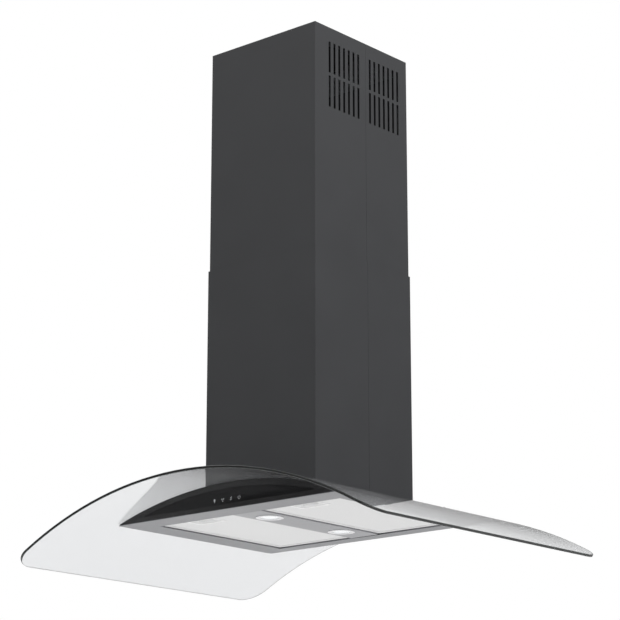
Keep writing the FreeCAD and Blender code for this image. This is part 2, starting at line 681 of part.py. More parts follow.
def cut_vents(cover, start, half_x):
    """Two rows of upright slots, through both side walls."""
    for row in range(2):
        top = -s.vent_drop - (s.vent_height + s.vent_row_gap) * row
        slots = cut(cover, "YZ", -half_x, half_x,
                    rectangle(start - s.vent_width / 2, start + s.vent_width / 2,
                              top - s.vent_height, top))
        pattern = cover.newObject("PartDesign::LinearPattern", cover.Name + "_vents")
        pattern.Originals = [slots]
        pattern.Direction = (origin_axis(cover, "Y_Axis"), [""])
        pattern.Mode = "Spacing"
        bind(pattern, "Offset", s.vent_pitch)
        pattern.Occurrences = int(s.vent_count.value)
        pattern.setExpression("Occurrences", s.vent_count.formula)
        cover.Tip = pattern


def make_covers():
    half_x, half_y = s.chimney_width / 2, s.chimney_depth / 2
    upper_low = s.joint_height - s.cover_overlap - s.stack_height
    lower_x, lower_y = half_x + s.cover_step, half_y + s.cover_step
    glass_bottom = CROWN - drop(s.glass_radius, lower_x)
    for side, start in (("front", s.vent_front_start), ("rear", s.vent_rear_start)):
        front = side == "front"
        upper = make_cover("upper_cover_" + side, front, half_x, half_y, upper_low, Size(0))
        cut_vents(upper, start, half_x)
        place(upper)
        lower = make_cover("lower_cover_" + side, front, lower_x, lower_y, glass_bottom, s.joint_height)
        under = crescent(GLASS_TOP + s.seat_gap, s.glass_radius + s.seat_gap,
                         glass_bottom - s.sheet, lower_x + s.sheet)
        cut(lower, "XZ", -lower_y, lower_y, under)
        place(lower, 0, 0, HOOD_LEVEL)


# --- hanging frame ------------------------------------------------------------------------------------


def make_ceiling_plate():
    plate = new_body("ceiling_plate")
    full = centred(PLATE_X, PLATE_Y)
    add(plate, "XY", -s.skirt_height, 0, full)
    cut(plate, "XY", -s.skirt_height, -s.plate_thickness,
        centred(PLATE_X - s.skirt_sheet, PLATE_Y - s.skirt_sheet))
    holes = [circle(x, y, s.ceiling_bolt_radius)
             for x in (-s.ceiling_bolt_x, s.ceiling_bolt_x) for y in (-s.ceiling_bolt_y, s.ceiling_bolt_y)]
    cut(plate, "XY", -s.plate_thickness, 0, circle(0, 0, s.outlet_radius + s.duct_clearance),
        *holes)
    place(plate)


def angle_section(corner_x, corner_y, sign_x, sign_y):
    """L section whose outer corner stands at (corner_x, corner_y), in the quadrant of the signs."""
    def point(inward_x, inward_y):
        return ((corner_x - inward_x) * sign_x, (corner_y - inward_y) * sign_y)
    leg, wall = s.post_leg, s.post_sheet
    return [point(0, 0), point(0, leg), point(wall, leg), point(wall, wall), point(leg, wall),
            point(leg, 0)]


def make_posts():
    """Four angle posts from the ceiling, and four inside them that stand on the hood's base frame."""
    bolt_z = s.bolt_level - s.stack_height
    corners = {"front_left": (-1, -1), "front_right": (1, -1), "rear_left": (-1, 1), "rear_right": (1, 1)}
    for name, (sign_x, sign_y) in corners.items():
        upper = new_body("upper_post_" + name)
        add(upper, "XY", UPPER_POST_FOOT, -s.plate_thickness,
            angle_section(UPPER_POST_X, UPPER_POST_Y, sign_x, sign_y))
        low_x, high_x = sorted((UPPER_POST_X * sign_x, (UPPER_POST_X - s.post_sheet) * sign_x),
                               key=lambda size: size.value)
        middle = BOLT_Y * sign_y
        cut(upper, "YZ", low_x, high_x,
            rectangle(middle - s.slot_width / 2, middle + s.slot_width / 2,
                      bolt_z - s.slot_margin, bolt_z + s.lift_range + s.slot_margin))
        place(upper)
        lower = new_body("lower_post_" + name)
        add(lower, "XY", LOWER_POST_FOOT, s.bolt_level + s.post_above_bolt,
            angle_section(LOWER_POST_X, LOWER_POST_Y, sign_x, sign_y))
        low_x, high_x = sorted((LOWER_POST_X * sign_x, (LOWER_POST_X - s.post_sheet) * sign_x),
                               key=lambda size: size.value)
        cut(lower, "YZ", low_x, high_x, circle(middle, s.bolt_level, s.bolt_radius + s.pin_fit))
        place(lower, 0, 0, HOOD_LEVEL)


def make_brace():
    """Strap that ties the upper posts together at their lower ends."""
    brace = new_body("upper_brace")
    low = UPPER_POST_FOOT + s.brace_lift
    add(brace, "XY", low, low + s.brace_height,
        centred(UPPER_POST_X + s.brace_sheet, UPPER_POST_Y + s.brace_sheet))
    cut(brace, "XY", low, low + s.brace_height, centred(UPPER_POST_X, UPPER_POST_Y))
    place(brace)


def make_frame_bolts():
    """Bolts of the lower posts, which slide in the slots of the upper ones and clamp the height."""
    bolts = []
    inner = LOWER_POST_X.value - s.post_sheet.value
    outer = UPPER_POST_X.value + s.seat_gap.value
    for sign_x in (-1, 1):
        for sign_y in (-1, 1):
            axis = FreeCAD.Vector(sign_x, 0, 0)

            def bar(radius, start, length):
                foot = FreeCAD.Vector(sign_x * start, sign_y * BOLT_Y.value, s.bolt_level.value)
                return Part.makeCylinder(radius, length, foot, axis)

            nut = bar(s.bolt_head_radius.value, inner - s.bolt_nut_height.value, s.bolt_nut_height.value)
            shank = bar(s.bolt_radius.value, inner, outer - inner)
            head = bar(s.bolt_head_radius.value, outer, s.bolt_head_height.value)
            bolts.append(nut.fuse([shank, head]).removeSplitter())
    place(solid_group("frame_bolts", bolts), 0, 0, HOOD_LEVEL)


def make_base_frame():
    """Frame that stands on the crown of the body and carries the posts and the blower."""
    base = new_body("base_frame")
    low = CROWN - drop(HOUSING_RADIUS, BASE_X) - s.sheet
    add(base, "XY", low, BASE_TOP, centred(BASE_X, BASE_Y))
    cut(base, "XY", low, BASE_TOP - s.base_wall, centred(BASE_X - s.base_wall, BASE_Y - s.base_wall))
    cut(base, "XY", BASE_TOP - s.base_wall, BASE_TOP,
        centred(BASE_X - s.base_flange, BASE_Y - s.base_flange))
    cut(base, "XZ", -BASE_Y, BASE_Y,
        crescent(CROWN + s.seat_gap, HOUSING_RADIUS + s.seat_gap, low - s.sheet, BASE_X + s.sheet))
    place(base, 0, 0, HOOD_LEVEL)


# --- blower: drawn about the wheel's axis, which lies along X -------------------------------------------


def place_blower(piece):
    place(piece, 0, BLOWER_Y, HOOD_LEVEL + BLOWER_LEVEL)


def spiral_radii(growth):
    return [SCROLL_START + s.scroll_growth * step + growth for step in range(3)]


def neck_walls(growth):
    """Places of the outlet neck's front and rear walls, grown outwards."""
    front = SCROLL_START * cosine(s.tongue_angle) - SCROLL_SHIFT - growth
    return front, SCROLL_SHIFT + spiral_radii(growth)[2]


def spiral_corners(growth):
    """Corners of the scroll's spiral, from the neck's front wall round to its rear wall. Three arcs on
    three centres, each larger than the last, run on from each other without a kink."""
    shift = SCROLL_SHIFT
    small, middle, large = spiral_radii(growth)
    front, rear = neck_walls(growth)
    reach = front + shift
    tongue = (front, root(small * small - reach * reach) - shift, small)
    over = (-shift, small - shift, small)
    left = (-shift - small, -shift, middle)
    under = (shift, -shift - middle, large)
    return [(front, NECK_TOP), tongue, over, left, under, (rear, shift), (rear, NECK_TOP)]


def reversed_corners(corners):
    """The same path walked the other way, so each arc turns to the other side."""
    points = [corner[:2] for corner in corners]
    radii = [corner[2] if len(corner) == 3 else None for corner in corners]
    path = []
    for number in range(len(points) - 1, -1, -1):
        radius = radii[number - 1] if number else None
        path.append((*points[number], -radius) if radius is not None else points[number])
    return path


def make_scroll():
    half = SCROLL_HALF
    wrap = new_body("scroll_wrap")
    add(wrap, "YZ", -half, half, spiral_corners(Size(0)) + reversed_corners(spiral_corners(s.scroll_wall)))
    place_blower(wrap)
    for side, sign in (("left", -1), ("right", 1)):
        plate = new_body("scroll_side_" + side)
        low, high = (half, half + s.scroll_wall) if sign > 0 else (-half - s.scroll_wall, -half)
        add(plate, "YZ", low, high, spiral_corners(s.scroll_wall))
        add(plate, "YZ", low, high,
            rectangle(-s.foot_half_width, s.foot_half_width, RAIL_TOP - BLOWER_LEVEL, -SCROLL_START))
        cut(plate, "YZ", low, high, circle(0, 0, s.inlet_radius))
        turn(plate, bell_section(sign), "H_Axis")
        place_blower(plate)


def bell_section(sign):
    """Bell mouth of an inlet: a short skirt that flares outwards through a quarter round."""
    face = SCROLL_HALF
    bend = face + s.bell_skirt
    inner, outer = s.inlet_radius, s.inlet_radius + s.bell_sheet
    middle = s.inlet_radius + s.bell_radius
    corners = [(face, outer), (face, inner), (bend, inner, -s.bell_radius),
               (bend + s.bell_radius, middle), (bend + s.bell_radius - s.bell_sheet, middle,
                                                s.bell_radius - s.bell_sheet), (bend, outer)]
    if sign > 0:
        return corners
    return [(-corner[0], *corner[1:2], *[-radius for radius in corner[2:]]) for corner in corners]


def make_wheel():
    """Double-inlet blower wheel: forward-curved blades between two end rings, on a disc in the middle."""
    wheel = new_body("impeller")
    inner = s.wheel_radius - s.blade_depth
    end = s.wheel_half_width
    thick = s.blade_thickness / 2
    ring = (circle(0, 0, s.wheel_radius), circle(0, 0, s.wheel_radius - s.wheel_ring_width))
    add(wheel, "YZ", -end, s.wheel_ring_thickness - end, *ring)
    blade = add(wheel, "YZ", -end, end,
                [(-thick, inner, s.blade_curve_radius), (-thick, s.wheel_radius - thick),
                 (thick, s.wheel_radius - thick, -s.blade_curve_radius), (thick, inner)])
    around(wheel, blade, s.blade_count, "X_Axis")
    add(wheel, "YZ", end - s.wheel_ring_thickness, end, *ring)
    disc = new_body("impeller_disc")
    half = s.wheel_disc_thickness / 2
    add(disc, "YZ", -half, half, circle(0, 0, inner - s.seat_gap))
    add(disc, "YZ", -s.hub_left, s.hub_right, circle(0, 0, s.hub_radius))
    cut(disc, "YZ", -s.hub_left, s.hub_right, circle(0, 0, s.shaft_radius + s.shaft_fit))
    shaft = new_body("motor_shaft")
    add(shaft, "YZ", -s.shaft_left, s.hub_right, circle(0, 0, s.shaft_radius))
    for piece in (wheel, disc, shaft):
        place_blower(piece)


def make_motor():
    motor = new_body("motor")
    boss_end = s.motor_boss_length - s.motor_right
    add(motor, "YZ", -s.motor_left, -s.motor_right, circle(0, 0, s.motor_radius))
    add(motor, "YZ", -s.motor_right, boss_end, circle(0, 0, s.motor_boss_radius))
    cut(motor, "YZ", -s.shaft_left - s.seat_gap, boss_end, circle(0, 0, s.shaft_radius + s.shaft_fit))
    place_blower(motor)
    bracket = new_body("motor_bracket")
    inner = s.motor_radius + s.seat_gap
    ring = inner + s.bracket_ring_width
    right = -SCROLL_HALF - s.bell_skirt - s.bell_radius
    left = right - s.bracket_sheet
    half_arm = s.bracket_arm_width / 2
    add(bracket, "YZ", left, right, circle(0, 0, ring), circle(0, 0, inner))
    arm = add(bracket, "YZ", left, right,
              rectangle(-half_arm, half_arm, ring - s.bracket_sheet, BRACKET_REACH))
    around(bracket, arm, s.bracket_arms, "X_Axis")
    foot = add(bracket, "YZ", left, -SCROLL_HALF - s.scroll_wall,
               rectangle(-half_arm, half_arm, BRACKET_REACH - s.bracket_foot, BRACKET_REACH))
    around(bracket, foot, s.bracket_arms, "X_Axis")
    place_blower(bracket)


def make_rails():
    for side, sign in (("front", -1), ("rear", 1)):
        rail = new_body("blower_rail_" + side)
        length = BASE_X - s.rail_end_gap
        middle = s.rail_spread * sign
        add(rail, "XY", BASE_TOP, RAIL_TOP,
            rectangle(-length, length, middle - s.rail_width / 2, middle + s.rail_width / 2))
        place(rail, 0, BLOWER_Y, HOOD_LEVEL)


def make_control_box():
    box = new_body("control_box")
    left = s.box_wall_gap - BASE_X
    block = add(box, "XY", BASE_TOP, BASE_TOP + s.box_height,
                rectangle(left, left + s.box_width, s.box_front, s.box_front + s.box_length))
    round_edges(box, block, s.box_round, is_upright)
    place(box, 0, 0, HOOD_LEVEL)


# --- outlet: rectangular neck to round collar, with two damper flaps ------------------------------------


def quartered_circle(radius):
    reach = radius / math.sqrt(2)
    return [(-reach, -reach, radius), (reach, -reach, radius), (reach, reach, radius),
            (-reach, reach, radius)]


def loft(owner, kind, low, high, lower_outline, upper_outline):
    first = new_sketch(owner, "XY", low)
    draw(first, lower_outline)
    second = new_sketch(owner, "XY", high)
    draw(second, upper_outline)
    solid = owner.newObject(kind, owner.Name + "_loft")
    solid.Profile = first
    solid.Sections = [second]
    solid.Ruled = True
    return solid


def make_transition():
    piece = new_body("outlet_transition")
    low = BLOWER_LEVEL + NECK_TOP
    wall = s.collar_wall
    neck_front, neck_rear = [BLOWER_Y + place_of_wall for place_of_wall in neck_walls(s.scroll_wall)]
    half = SCROLL_HALF + s.scroll_wall
    loft(piece, "PartDesign::AdditiveLoft", low, COLLAR_LEVEL,
         rectangle(-half, half, neck_front, neck_rear), quartered_circle(s.outlet_radius))
    loft(piece, "PartDesign::SubtractiveLoft", low, COLLAR_LEVEL,
         rectangle(wall - half, half - wall, neck_front + wall, neck_rear - wall),
         quartered_circle(s.outlet_radius - wall))
    place(piece, 0, 0, HOOD_LEVEL)


def make_collar():
    collar = new_body("outlet_collar")
    outer, bore = s.outlet_radius, COLLAR_BORE
    ledge_top = s.damper_level - s.flap_drop - s.seat_gap
    ledge_low = ledge_top - s.ledge_thickness
    ledge = bore - s.ledge_width
    turn(collar, [(bore, 0), (outer, 0), (outer, s.collar_height), (bore, s.collar_height),
                  (bore, ledge_top), (ledge, ledge_top), (ledge, ledge_low), (bore, ledge_low)], "V_Axis")
    cut(collar, "XZ", -outer, outer, circle(0, s.damper_level, s.damper_pin_radius + s.pin_fit))
    place(collar, 0, 0, HOOD_LEVEL + COLLAR_LEVEL)
    pin = new_body("damper_pin")
    add(pin, "XZ", s.seat_gap - outer, outer - s.seat_gap, circle(0, 0, s.damper_pin_radius))
    place(pin, 0, 0, HOOD_LEVEL + COLLAR_LEVEL + s.damper_level)


def make_flap(side, sign):
    """Half-round flap with one knuckle on the pin, drawn about the pin's axis."""
    flap = new_body("damper_flap_" + side)
    top = s.flap_thickness - s.flap_drop
    edge = s.knuckle_radius + s.seat_gap
    radius = COLLAR_BORE - s.flap_clearance
    reach = root(radius * radius - edge * edge)
    if sign < 0:
        outline = [(-edge, reach, radius), (-radius, 0, radius), (-edge, -reach)]
        knuckle_low, knuckle_high = -s.knuckle_start - s.knuckle_length, -s.knuckle_start
        bridge = rectangle(-edge, 0, knuckle_low, knuckle_high)
    else:
        outline = [(edge, -reach, radius), (radius, 0, radius), (edge, reach)]
        knuckle_low, knuckle_high = s.knuckle_start, s.knuckle_start + s.knuckle_length
        bridge = rectangle(0, edge, knuckle_low, knuckle_high)
    add(flap, "XY", -s.flap_drop, top, outline)
    add(flap, "XY", -s.flap_drop, top, bridge)
    add(flap, "XZ", knuckle_low, knuckle_high, circle(0, 0, s.knuckle_radius))
    cut(flap, "XZ", knuckle_low, knuckle_high, circle(0, 0, s.damper_pin_radius + s.pin_fit))
    place(flap, 0, 0, HOOD_LEVEL + COLLAR_LEVEL + s.damper_level)


# --- build, check and write ---------------------------------------------------------------------------


def build():
    make_ceiling_plate()
    make_posts()
    make_brace()
    make_frame_bolts()
    make_covers()
    make_glass()
    make_seals()
    make_glass_fixings()
    make_housing()
    make_fascias()
    make_controls()
    make_rim()
    make_light_strip()
    make_lamp("front", s.lamp_front_y)
    make_lamp("rear", s.lamp_rear_y)
    make_filter("left", -FILTER_X)
    make_filter("right", FILTER_X)
    make_base_frame()
    make_scroll()
    make_wheel()
    make_motor()
    make_rails()
    make_control_box()
    make_transition()
    make_collar()
    make_flap("left", -1)
    make_flap("right", 1)
    doc.recompute()


def check():
    """Stop if a feature failed, a pocket cut nothing or a piece isn't sound."""
    for thing in doc.Objects:
        if "Invalid" in thing.State or "Error" in thing.State:
            raise RuntimeError(f"{thing.Name} failed: {thing.State}")
        if thing.TypeId in ("PartDesign::Pocket", "PartDesign::SubtractiveLoft"):
            if thing.Shape.Volume > thing.BaseFeature.Shape.Volume - TOLERANCE:
                raise RuntimeError(f"{thing.Name} cuts nothing")


def pieces():
    return [thing for thing in doc.Objects
            if thing.TypeId in ("PartDesign::Body", "Part::Feature")]


def write():
    os.makedirs("parts", exist_ok=True)
    for piece in pieces():
        if piece.Shape.isNull() or not piece.Shape.isValid() or not piece.Shape.Solids:
            raise RuntimeError(f"{piece.Label} has no sound shape")
        piece.Shape.exportStep(f"parts/{piece.Label}.step")
        print(piece.Label, len(piece.Shape.Solids), round(piece.Shape.Volume))


build()
check()
write()
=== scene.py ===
"""Looks and studio for a curved glass island range hood, laid out as a Blender add-on."""

from math import pi, radians

import bmesh
import bpy
from bpy.props import FloatProperty, FloatVectorProperty, PointerProperty
from mathutils import Matrix, Vector


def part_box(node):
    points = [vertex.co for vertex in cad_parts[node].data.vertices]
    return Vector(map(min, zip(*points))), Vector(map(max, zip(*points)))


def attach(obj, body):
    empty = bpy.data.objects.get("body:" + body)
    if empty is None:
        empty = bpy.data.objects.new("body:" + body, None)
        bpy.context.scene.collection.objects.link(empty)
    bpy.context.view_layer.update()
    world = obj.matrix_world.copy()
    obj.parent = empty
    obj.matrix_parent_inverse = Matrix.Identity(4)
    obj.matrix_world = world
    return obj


bl_info = {
    "name": "Curved glass range hood",
    "version": (1, 0, 0),
    "blender": (4, 5, 0),
    "location": "3D View > Sidebar > Range hood",
    "description": "Finishes, touch symbols and studio for a curved glass island range hood",
    "category": "Object",
}

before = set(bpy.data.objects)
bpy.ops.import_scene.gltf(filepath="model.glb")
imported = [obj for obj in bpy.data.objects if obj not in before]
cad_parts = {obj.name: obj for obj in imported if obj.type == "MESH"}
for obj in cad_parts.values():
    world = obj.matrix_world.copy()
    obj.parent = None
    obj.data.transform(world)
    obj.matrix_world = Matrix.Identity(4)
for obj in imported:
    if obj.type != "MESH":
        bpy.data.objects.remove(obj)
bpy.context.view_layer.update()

GLASS_CORNER = 0.045  # radius of the canopy's corners seen from above, as in the CAD
GLASS_LINE = 0.0018  # width of the dark line along the edge of the glass


# Sizes and colours ---------------------------------------------------------


def colour(name, description, default):
    """A colour property with the settings that every one here shares."""
    return FloatVectorProperty(
        name=name, description=description, default=default, subtype="COLOR", min=0, max=1
    )


def length(name, description, default):
    """A length property, in metres."""
    return FloatProperty(name=name, description=description, default=default, unit="LENGTH")


def amount(name, description, default):
    """A property for a number that isn't a length and is never below zero."""
    return FloatProperty(name=name, description=description, default=default, min=0)


def spot(name, description, default):
    """A property for a place, in metres."""
    return FloatVectorProperty(
        name=name, description=description, default=default, subtype="TRANSLATION"
    )


class HoodFinishes(bpy.types.PropertyGroup):
    """Colours of the hood's coats, metals, glass and plastics."""

    cover_coat: colour("Chimney coat", "Powder coat of the covers", (0.0180, 0.0187, 0.0206))
    fascia_paint: colour("Fascia paint", "Gloss paint of the fascias", (0.006, 0.006, 0.0065))
    panel_gloss: colour("Control panel", "Gloss plastic of the panel", (0.002, 0.002, 0.0025))
    symbol_ink: colour("Touch symbols", "Printed symbols on the panel", (0.45, 0.46, 0.47))
    board_lacquer: colour("Touch board", "Lacquer of the panel's board", (0.02, 0.11, 0.045))
    glass_tint: colour("Glass", "Faint tint of the bent glass", (0.830, 0.838, 0.850))
    glass_edge: colour("Glass edge", "Dark look of the glass edge", (0.006, 0.009, 0.008))
    seal_rubber: colour("Seals", "Gasket and edge seals of the glass", (0.018, 0.018, 0.018))
    screw_cap: colour("Screw caps", "Polished caps on the glass", (0.78, 0.78, 0.78))
    # The rim's steel is darker than the strip's steel of the same finish: painted shade for how the
    # light falls on the rim.
    steel: colour("Brushed steel", "Rim under the hood", (0.202, 0.204, 0.216))
    strip: colour("Strip steel", "Lamp strip under the hood", (0.30, 0.30, 0.315))
    lamp_chrome: colour("Lamp bezels", "Polished rings of the lamps", (0.70, 0.70, 0.71))
    lamp_can: colour("Lamp cans", "Cast cans behind the lamps", (0.5, 0.5, 0.5))
    lens_dark: colour("Lens, darker", "Darker rings of a lens", (0.82, 0.84, 0.85))
    lens_pale: colour("Lens, paler", "Paler rings of a lens", (0.95, 0.96, 0.97))
    glow_dark: colour("Glow, darker", "Glow in the middle of a facet", (0.45, 0.50, 0.52))
    glow_pale: colour("Glow, paler", "Glow towards a facet's rim", (1.0, 1.0, 1.0))
    aluminium: colour("Filters", "Grease filters, mesh packs and latches", (0.74, 0.74, 0.74))
    # Finger cups are paler than the filters' aluminium and not metallic: painted light that makes up
    # for the shade in the recesses.
    finger_cup_painted_light: colour("Finger cups", "Recesses in the grease filters", (0.85, 0.85, 0.85))
    pin_steel: colour("Hinge pins", "Steel of the filters' pins", (0.55, 0.55, 0.56))
    # The zinc colour is darkened as painted shade, so the frame and blower inside the chimney stay
    # dark behind the vents.
    zinc: colour("Zinc coat", "Frame, blower housing and top sheet", (0.27, 0.28, 0.285))
    bolt_zinc: colour("Bolts", "Zinc on the frame's bolts", (0.6, 0.6, 0.58))
    moulding: colour("Plastic", "Wheel, outlet, flaps and control box", (0.045, 0.046, 0.050))
    motor_paint: colour("Motor", "Paint of the blower's motor", (0.16, 0.165, 0.17))
    shaft_steel: colour("Shafts", "Motor shaft and damper pin", (0.62, 0.62, 0.63))


class TouchSizes(bpy.types.PropertyGroup):
    """Sizes of the four printed touch symbols."""

    pitch: length("Symbol pitch", "From one symbol's centre to the next", 0.0207)
    height: length("Symbol height", "Height of each symbol", 0.0075)
    ink: length("Ink thickness", "How far the print stands on the panel", 0.00012)
    level: length("Symbol level", "Symbols' centres, counted up from the ceiling", -0.9466)


class StageSettings(bpy.types.PropertyGroup):
    """Floor, duct end, lights and camera of the studio."""

    floor_level: length("Floor level", "Floor, counted up from the ceiling", -6.4)
    floor_half: length("Floor half width", "Half of the floor's side", 32.0)
    floor_colour: colour("Floor", "Pale studio floor", (0.86, 0.86, 0.86))
    # The duct disc's colour is painted shade for the dark inside of the duct.
    duct_dark: colour("Duct end", "Dark disc over the duct hole", (0.004, 0.004, 0.004))
    duct_lap: length("Duct end lap", "How far the dark disc goes past the collar", 0.014)
    duct_lift: length("Duct end lift", "Height of the dark disc over the plate", 0.0005)
    sky_low: amount("Wall light", "Strength of the light from the studio's walls", 0.38)
    sky_high: amount("Overhead light", "Strength of the light from above", 1.45)
    backdrop: amount("Backdrop", "Strength of the white that the camera sees", 1.0)
    side_place: spot("Side light", "Place of the light on the right", (2.7, -1.1, 0.3))
    side_size: length("Side light size", "Side of the square light", 1.8)
    side_power: amount("Side light power", "Power in watts", 88)
    front_place: spot("Front light", "Place of the light at the front left", (-1.2, -3.6, 0.2))
    front_size: length("Front light size", "Side of the square light", 2.4)
    front_power: amount("Front light power", "Power in watts", 2)
    light_aim: spot("Aim", "What both lights point at, inside the chimney", (0, 0, -0.6))
    lens: amount("Focal length", "Camera lens in millimetres", 124.82)
    sensor: amount("Sensor width", "Camera sensor in millimetres", 36)
    sight: length("Sight", "How far the camera sees", 200)
    camera_place: spot("Camera", "Place of the camera", (2.6884, -3.1047, -1.6796))
    camera_turn: FloatVectorProperty(
        name="Camera turn", description="Tilt up from straight down, roll and heading",
        default=(pi / 2 + 0.27217, 0, 0.71346), subtype="EULER",
    )


# Node helpers --------------------------------------------------------------


def add_node(tree, kind, inputs=None, **settings):
    """Adds a node, sets it, and links or fills the inputs that are named."""
    made = tree.nodes.new(kind)
    for name, value in settings.items():
        setattr(made, name, value)
    for name, value in (inputs or {}).items():
        if isinstance(value, bpy.types.NodeSocket):
            tree.links.new(value, made.inputs[name])
        else:
            made.inputs[name].default_value = value
    return made


def add_noise(tree, vector, scale, detail, roughness):
    """The value of a noise texture; its scale is in patches per metre."""
    return add_node(
        tree, "ShaderNodeTexNoise",
        {"Vector": vector, "Scale": scale, "Detail": detail, "Roughness": roughness},
    ).outputs["Fac"]


def add_bump(tree, height, depth, strength=1.0):
    """The normals of a surface that a mask raises by up to the depth."""
    return add_node(
        tree, "ShaderNodeBump", {"Height": height, "Distance": depth, "Strength": strength}
    ).outputs["Normal"]


def add_vector_math(tree, operation, *inputs):
    """The vector that a Vector Math node makes of its inputs."""
    return add_node(
        tree, "ShaderNodeVectorMath", dict(enumerate(inputs)), operation=operation
    ).outputs[0]


def blend(tree, mask, low, high):
    """A colour that follows a mask from low, at 0, to high, at 1."""
    # In a colour Mix node, input 0 is the factor, and 6 and 7 are the two colours.
    return add_node(
        tree, "ShaderNodeMix", {0: mask, 6: low, 7: high}, data_type="RGBA"
    ).outputs[2]


def new_group(name, inputs, outputs):
    """A shader node group; each socket is given as its name and its kind."""
    group = bpy.data.node_groups.new(name, "ShaderNodeTree")
    for way, sockets in (("INPUT", inputs), ("OUTPUT", outputs)):
        for label, kind in sockets.items():
            group.interface.new_socket(label, in_out=way, socket_type="NodeSocket" + kind)
    start = group.nodes.new("NodeGroupInput")
    end = group.nodes.new("NodeGroupOutput")
    return group, start.outputs, end.inputs


def shared_group(name, build):
    """The group of that name, built the first time it is asked for."""
    return bpy.data.node_groups.get(name) or build(name)


def build_grain(name):
    """Fine grain of a coat or moulding, with slow clouds for dust and handling."""
    group, start, end = new_group(
        name,
        {
            "Vector": "Vector", "Grain per metre": "Float", "Depth": "Float",
            "Clouds per metre": "Float",
        },
        {"Clouds": "Float", "Normal": "Vector"},
    )
    fine = add_noise(group, start["Vector"], start["Grain per metre"], detail=3, roughness=0.55)
    slow = add_noise(group, start["Vector"], start["Clouds per metre"], detail=5, roughness=0.6)
    spread = add_node(
        group, "ShaderNodeMapRange", {"Value": slow, "From Min": 0.3, "From Max": 0.7}
    )
    group.links.new(spread.outputs["Result"], end["Clouds"])
    group.links.new(add_bump(group, fine, start["Depth"]), end["Normal"])
    return group


def build_brushing(name):
    """Long fine scratches of brushed metal along X, with slow clouds over them."""
    group, start, end = new_group(
        name,
        {"Vector": "Vector", "Lines per metre": "Float", "Stretch": "Float", "Depth": "Float"},
        {"Lines": "Float", "Clouds": "Float", "Normal": "Vector"},
    )
    along = add_node(group, "ShaderNodeCombineXYZ", {"X": start["Stretch"], "Y": 1, "Z": 1})
    drawn = add_vector_math(group, "MULTIPLY", start["Vector"], along.outputs["Vector"])
    lines = add_noise(group, drawn, start["Lines per metre"], detail=2, roughness=0.7)
    slow = add_noise(group, start["Vector"], scale=6, detail=4, roughness=0.55)
    group.links.new(lines, end["Lines"])
    group.links.new(slow, end["Clouds"])
    group.links.new(add_bump(group, lines, start["Depth"]), end["Normal"])
    return group


def build_spangle(name):
    """Zinc spangle: crystal patches a few millimetres across, each with its own tone."""
    group, start, end = new_group(
        name,
        {"Vector": "Vector", "Crystals per metre": "Float"},
        {"Tone": "Float", "Dust": "Float", "Normal": "Vector"},
    )
    crystals = add_node(
        group, "ShaderNodeTexVoronoi",
        {"Vector": start["Vector"], "Scale": start["Crystals per metre"], "Randomness": 1},
    )
    tone = add_node(group, "ShaderNodeSeparateColor", {"Color": crystals.outputs["Color"]})
    dust = add_noise(group, start["Vector"], scale=14, detail=5, roughness=0.65)
    raised = add_bump(group, tone.outputs["Green"], depth=0.00001, strength=0.6)
    group.links.new(tone.outputs["Red"], end["Tone"])
    group.links.new(dust, end["Dust"])
    group.links.new(raised, end["Normal"])
    return group


# Finishes ------------------------------------------------------------------


def new_material(name):
    """An empty material with its shader and Object coordinates."""
    made = bpy.data.materials.new(name)
    made.use_nodes = True
    tree = made.node_tree
    shader = tree.nodes["Principled BSDF"]
    place = tree.nodes.new("ShaderNodeTexCoord").outputs["Object"]
    return made, tree, shader, place


def set_shader(shader, **values):
    """Sets the shader's own sockets; an underscore in a name stands for a space."""
    for name, value in values.items():
        shader.inputs[name.replace("_", " ").title().replace("Ior", "IOR")].default_value = value


def shade(tone, factor):
    """A colour with four numbers, made lighter or darker."""
    return tuple(min(1.0, c * factor) for c in tone[:3]) + (1.0,)


def tint_between(tree, shader, mask, low, high):
    """Base colour that goes from one shade to another over the surface."""
    tree.links.new(blend(tree, mask, low, high), shader.inputs["Base Color"])


def rough_between(tree, shader, mask, low, high):
    """Roughness that goes from one value to another over the surface."""
    span = add_node(tree, "ShaderNodeMapRange", {"Value": mask, "To Min": low, "To Max": high})
    tree.links.new(span.outputs["Result"], shader.inputs["Roughness"])


def grained(name, tone, *, rough, grain, depth, clouds=9, wear=0.12, **values):
    """A coat, paint, rubber or moulding with fine grain and slow handling clouds.

    Grain and clouds are counted per metre, and the depth of the grain is in metres.
    """
    made, tree, shader, place = new_material(name)
    skin = add_node(
        tree, "ShaderNodeGroup",
        {"Vector": place, "Grain per metre": grain, "Depth": depth, "Clouds per metre": clouds},
        node_tree=shared_group("Fine grain", build_grain),
    ).outputs
    tint_between(tree, shader, skin["Clouds"], shade(tone, 1 - wear), shade(tone, 1 + wear))
    rough_between(tree, shader, skin["Clouds"], *rough)
    tree.links.new(skin["Normal"], shader.inputs["Normal"])
    set_shader(shader, **values)
    return made


def brushed(name, tone, *, rough, turn=(0, 0, 0), lines=1400, stretch=0.012, depth=0.00002):
    """Brushed or rolled metal; turn lays the lines along another axis."""
    made, tree, shader, place = new_material(name)
    turned = add_node(tree, "ShaderNodeMapping", {"Vector": place, "Rotation": turn})
    skin = add_node(
        tree, "ShaderNodeGroup",
        {
            "Vector": turned.outputs["Vector"], "Lines per metre": lines, "Stretch": stretch,
            "Depth": depth,
        },
        node_tree=shared_group("Brushed lines", build_brushing),
    ).outputs
    tint_between(tree, shader, skin["Lines"], shade(tone, 0.82), shade(tone, 1.16))
    rough_between(tree, shader, skin["Clouds"], *rough)
    tree.links.new(skin["Normal"], shader.inputs["Normal"])
    set_shader(shader, metallic=1.0)
    return made


